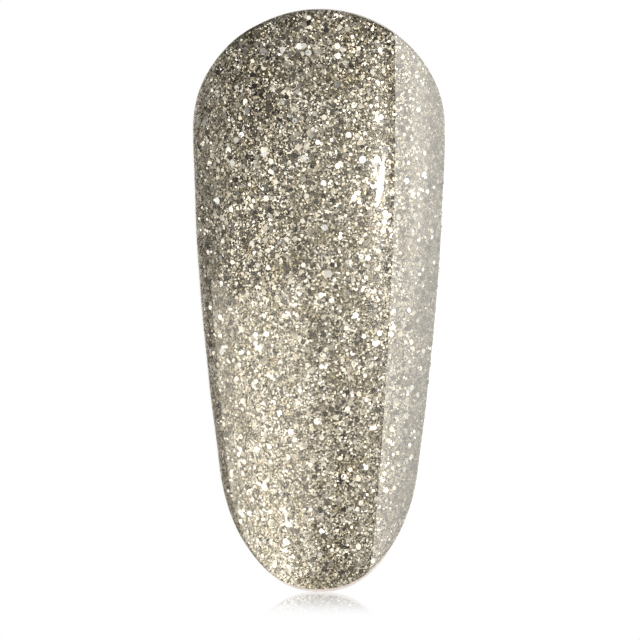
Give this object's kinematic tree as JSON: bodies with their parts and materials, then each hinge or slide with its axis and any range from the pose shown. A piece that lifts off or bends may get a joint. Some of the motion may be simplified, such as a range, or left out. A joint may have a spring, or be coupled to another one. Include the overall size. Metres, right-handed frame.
{
  "type": "glitter false nail",
  "caption": "Full-cover false nail tip, curved both ways, with a round free edge and a concave underside, coated in champagne glitter gel under a clear gloss top coat.",
  "frame": {"origin": "on the bare concave underside, at the crown line, in the middle of the area that is bonded to a fingernail or a display stick", "axes": "+Z runs from the free edge to the cuticle end, +Y points out of the concave underside, away from the painted face, and +X is to the right of someone looking at the painted face"},
  "size_m": [0.0121, 0.0044, 0.0276],
  "materials": {
    "tip_plastic": "satin moulded ABS, pale pink, slightly translucent",
    "clear_gel": "clear cured gel, wet gloss",
    "glitter_gel": "champagne-silver metallic glitter set in clear gel",
    "mirror_flake": "mirror-bright metallised film"
  },
  "bodies": {
    "root": {"nail_tip": "tip_plastic", "base_coat": "clear_gel", "glitter_coat_first": "glitter_gel", "glitter_coat_second": "glitter_gel", "top_coat": "clear_gel", "mirror_flake_01": "mirror_flake", "mirror_flake_02": "mirror_flake", "mirror_flake_03": "mirror_flake", "mirror_flake_04": "mirror_flake", "mirror_flake_05": "mirror_flake", "mirror_flake_06": "mirror_flake", "mirror_flake_07": "mirror_flake", "mirror_flake_08": "mirror_flake", "mirror_flake_09": "mirror_flake", "mirror_flake_10": "mirror_flake", "mirror_flake_11": "mirror_flake", "mirror_flake_12": "mirror_flake", "mirror_flake_13": "mirror_flake", "mirror_flake_14": "mirror_flake", "mirror_flake_15": "mirror_flake", "mirror_flake_16": "mirror_flake", "mirror_flake_17": "mirror_flake", "mirror_flake_18": "mirror_flake", "mirror_flake_19": "mirror_flake", "mirror_flake_20": "mirror_flake", "mirror_flake_21": "mirror_flake", "mirror_flake_22": "mirror_flake", "mirror_flake_23": "mirror_flake", "mirror_flake_24": "mirror_flake", "mirror_flake_25": "mirror_flake", "mirror_flake_26": "mirror_flake", "mirror_flake_27": "mirror_flake", "mirror_flake_28": "mirror_flake", "mirror_flake_29": "mirror_flake", "mirror_flake_30": "mirror_flake", "mirror_flake_31": "mirror_flake", "mirror_flake_32": "mirror_flake", "mirror_flake_33": "mirror_flake", "mirror_flake_34": "mirror_flake", "mirror_flake_35": "mirror_flake", "mirror_flake_36": "mirror_flake", "mirror_flake_37": "mirror_flake", "mirror_flake_38": "mirror_flake", "mirror_flake_39": "mirror_flake", "mirror_flake_40": "mirror_flake"}
  },
  "joints": []
}
